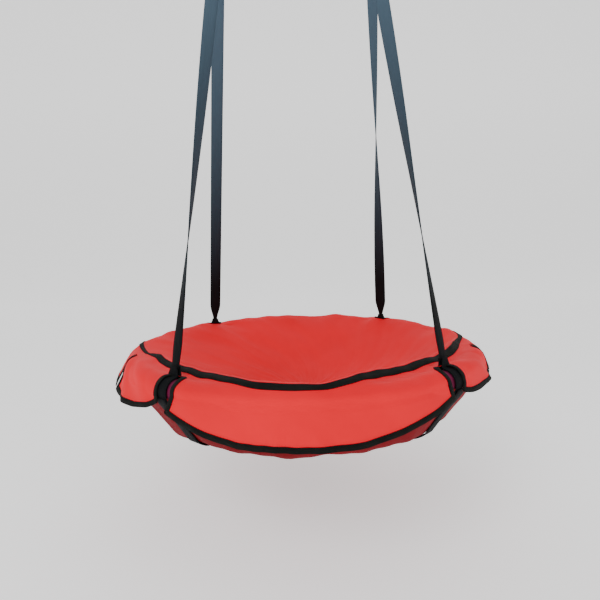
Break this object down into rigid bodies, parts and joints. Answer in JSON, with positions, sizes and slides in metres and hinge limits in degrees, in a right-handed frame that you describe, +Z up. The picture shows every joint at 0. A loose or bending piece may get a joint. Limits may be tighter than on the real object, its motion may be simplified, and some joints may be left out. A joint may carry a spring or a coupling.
{
  "type": "saucer nest swing",
  "caption": "Round nest swing: padded steel hoop with a fabric dish seat, hung on twisted webbing straps from sprung hooks.",
  "frame": {"origin": "middle of the line through the two hanging points, at the inside of the tops of the carabiners", "axes": "+Z up, +X to the right along the line of the hanging points, -Y towards the front of the seat"},
  "size_m": [1.108, 1.1308, 1.5541],
  "materials": {
    "cover_red": "bright red coated nylon, slightly shiny, soft folds",
    "panel_red": "dark red open weave fabric",
    "binding_black": "black woven tape with a row of stitches",
    "strap_webbing": "black to slate flat woven webbing",
    "foam_purple": "closed-cell foam with a fine skin",
    "hoop_steel": "grey powder coat",
    "zinc_steel": "bright zinc plate"
  },
  "bodies": {
    "hangers": {"carabiner_body_left": "zinc_steel", "carabiner_body_right": "zinc_steel", "gate_pin_left": "zinc_steel", "gate_pin_right": "zinc_steel"},
    "left_ring": {"hanging_ring_left": "zinc_steel"},
    "right_ring": {"hanging_ring_right": "zinc_steel"},
    "left_straps": {"strap_front_left": "strap_webbing", "strap_rear_left": "strap_webbing"},
    "right_straps": {"strap_front_right": "strap_webbing", "strap_rear_right": "strap_webbing"},
    "seat": {"hoop_loop_front_left": "strap_webbing", "hoop_loop_rear_left": "strap_webbing", "hoop_loop_front_right": "strap_webbing", "hoop_loop_rear_right": "strap_webbing", "hoop_tube_1": "hoop_steel", "hoop_spigot_1": "hoop_steel", "foam_sleeve_1": "foam_purple", "hoop_tube_2": "hoop_steel", "hoop_spigot_2": "hoop_steel", "foam_sleeve_2": "foam_purple", "hoop_tube_3": "hoop_steel", "hoop_spigot_3": "hoop_steel", "foam_sleeve_3": "foam_purple", "hoop_tube_4": "hoop_steel", "hoop_spigot_4": "hoop_steel", "foam_sleeve_4": "foam_purple", "hoop_screws": "zinc_steel", "seat_lining": "cover_red", "flap_front": "cover_red", "flap_front_right": "cover_red", "flap_rear_right": "cover_red", "flap_rear": "cover_red", "flap_rear_left": "cover_red", "flap_front_left": "cover_red", "seam_binding": "binding_black", "binding_front": "binding_black", "binding_front_right": "binding_black", "binding_rear_right": "binding_black", "binding_rear": "binding_black", "binding_rear_left": "binding_black", "binding_front_left": "binding_black", "under_panel": "panel_red", "cross_strap_a": "strap_webbing", "cross_strap_b": "strap_webbing", "cross_patch": "binding_black"},
    "left_gate": {"carabiner_gate_left": "zinc_steel"},
    "right_gate": {"carabiner_gate_right": "zinc_steel"}
  },
  "joints": [
    {"name": "swing", "type": "hinge", "parent": "hangers", "child": "left_ring", "pos_m": [-0.22, 0, -0.057], "axis": [1, 0, 0], "range_deg": [-50, 50]},
    {"name": "swing_right", "type": "hinge", "parent": "hangers", "child": "right_ring", "pos_m": [0.22, 0, -0.057], "axis": [1, 0, 0], "range_deg": [-50, 50]},
    {"name": "side_sway", "type": "hinge", "parent": "left_ring", "child": "left_straps", "pos_m": [-0.22, 0, -0.0857], "axis": [0, 1, 0], "range_deg": [-8, 8]},
    {"name": "side_sway_right", "type": "hinge", "parent": "right_ring", "child": "right_straps", "pos_m": [0.22, 0, -0.0857], "axis": [0, 1, 0], "range_deg": [-8, 8]},
    {"name": "seat_level", "type": "hinge", "parent": "left_straps", "child": "seat", "pos_m": [-0.32632, 0, -1.31768], "axis": [0, 1, 0], "range_deg": [-8, 8]},
    {"name": "gate_left", "type": "hinge", "parent": "hangers", "child": "left_gate", "pos_m": [-0.22, 0.013, -0.045], "axis": [1, 0, 0], "range_deg": [0, 24], "stiffness_Nm_per_rad": 0.05, "springref_deg": -20.05},
    {"name": "gate_right", "type": "hinge", "parent": "hangers", "child": "right_gate", "pos_m": [0.22, 0.013, -0.045], "axis": [1, 0, 0], "range_deg": [0, 24], "stiffness_Nm_per_rad": 0.05, "springref_deg": -20.05}
  ],
  "couplings": [
    {"joint": "swing_right", "follows": "swing", "ratio": 1},
    {"joint": "side_sway_right", "follows": "side_sway", "ratio": 1},
    {"joint": "seat_level", "follows": "side_sway", "ratio": -0.6742}
  ]
}
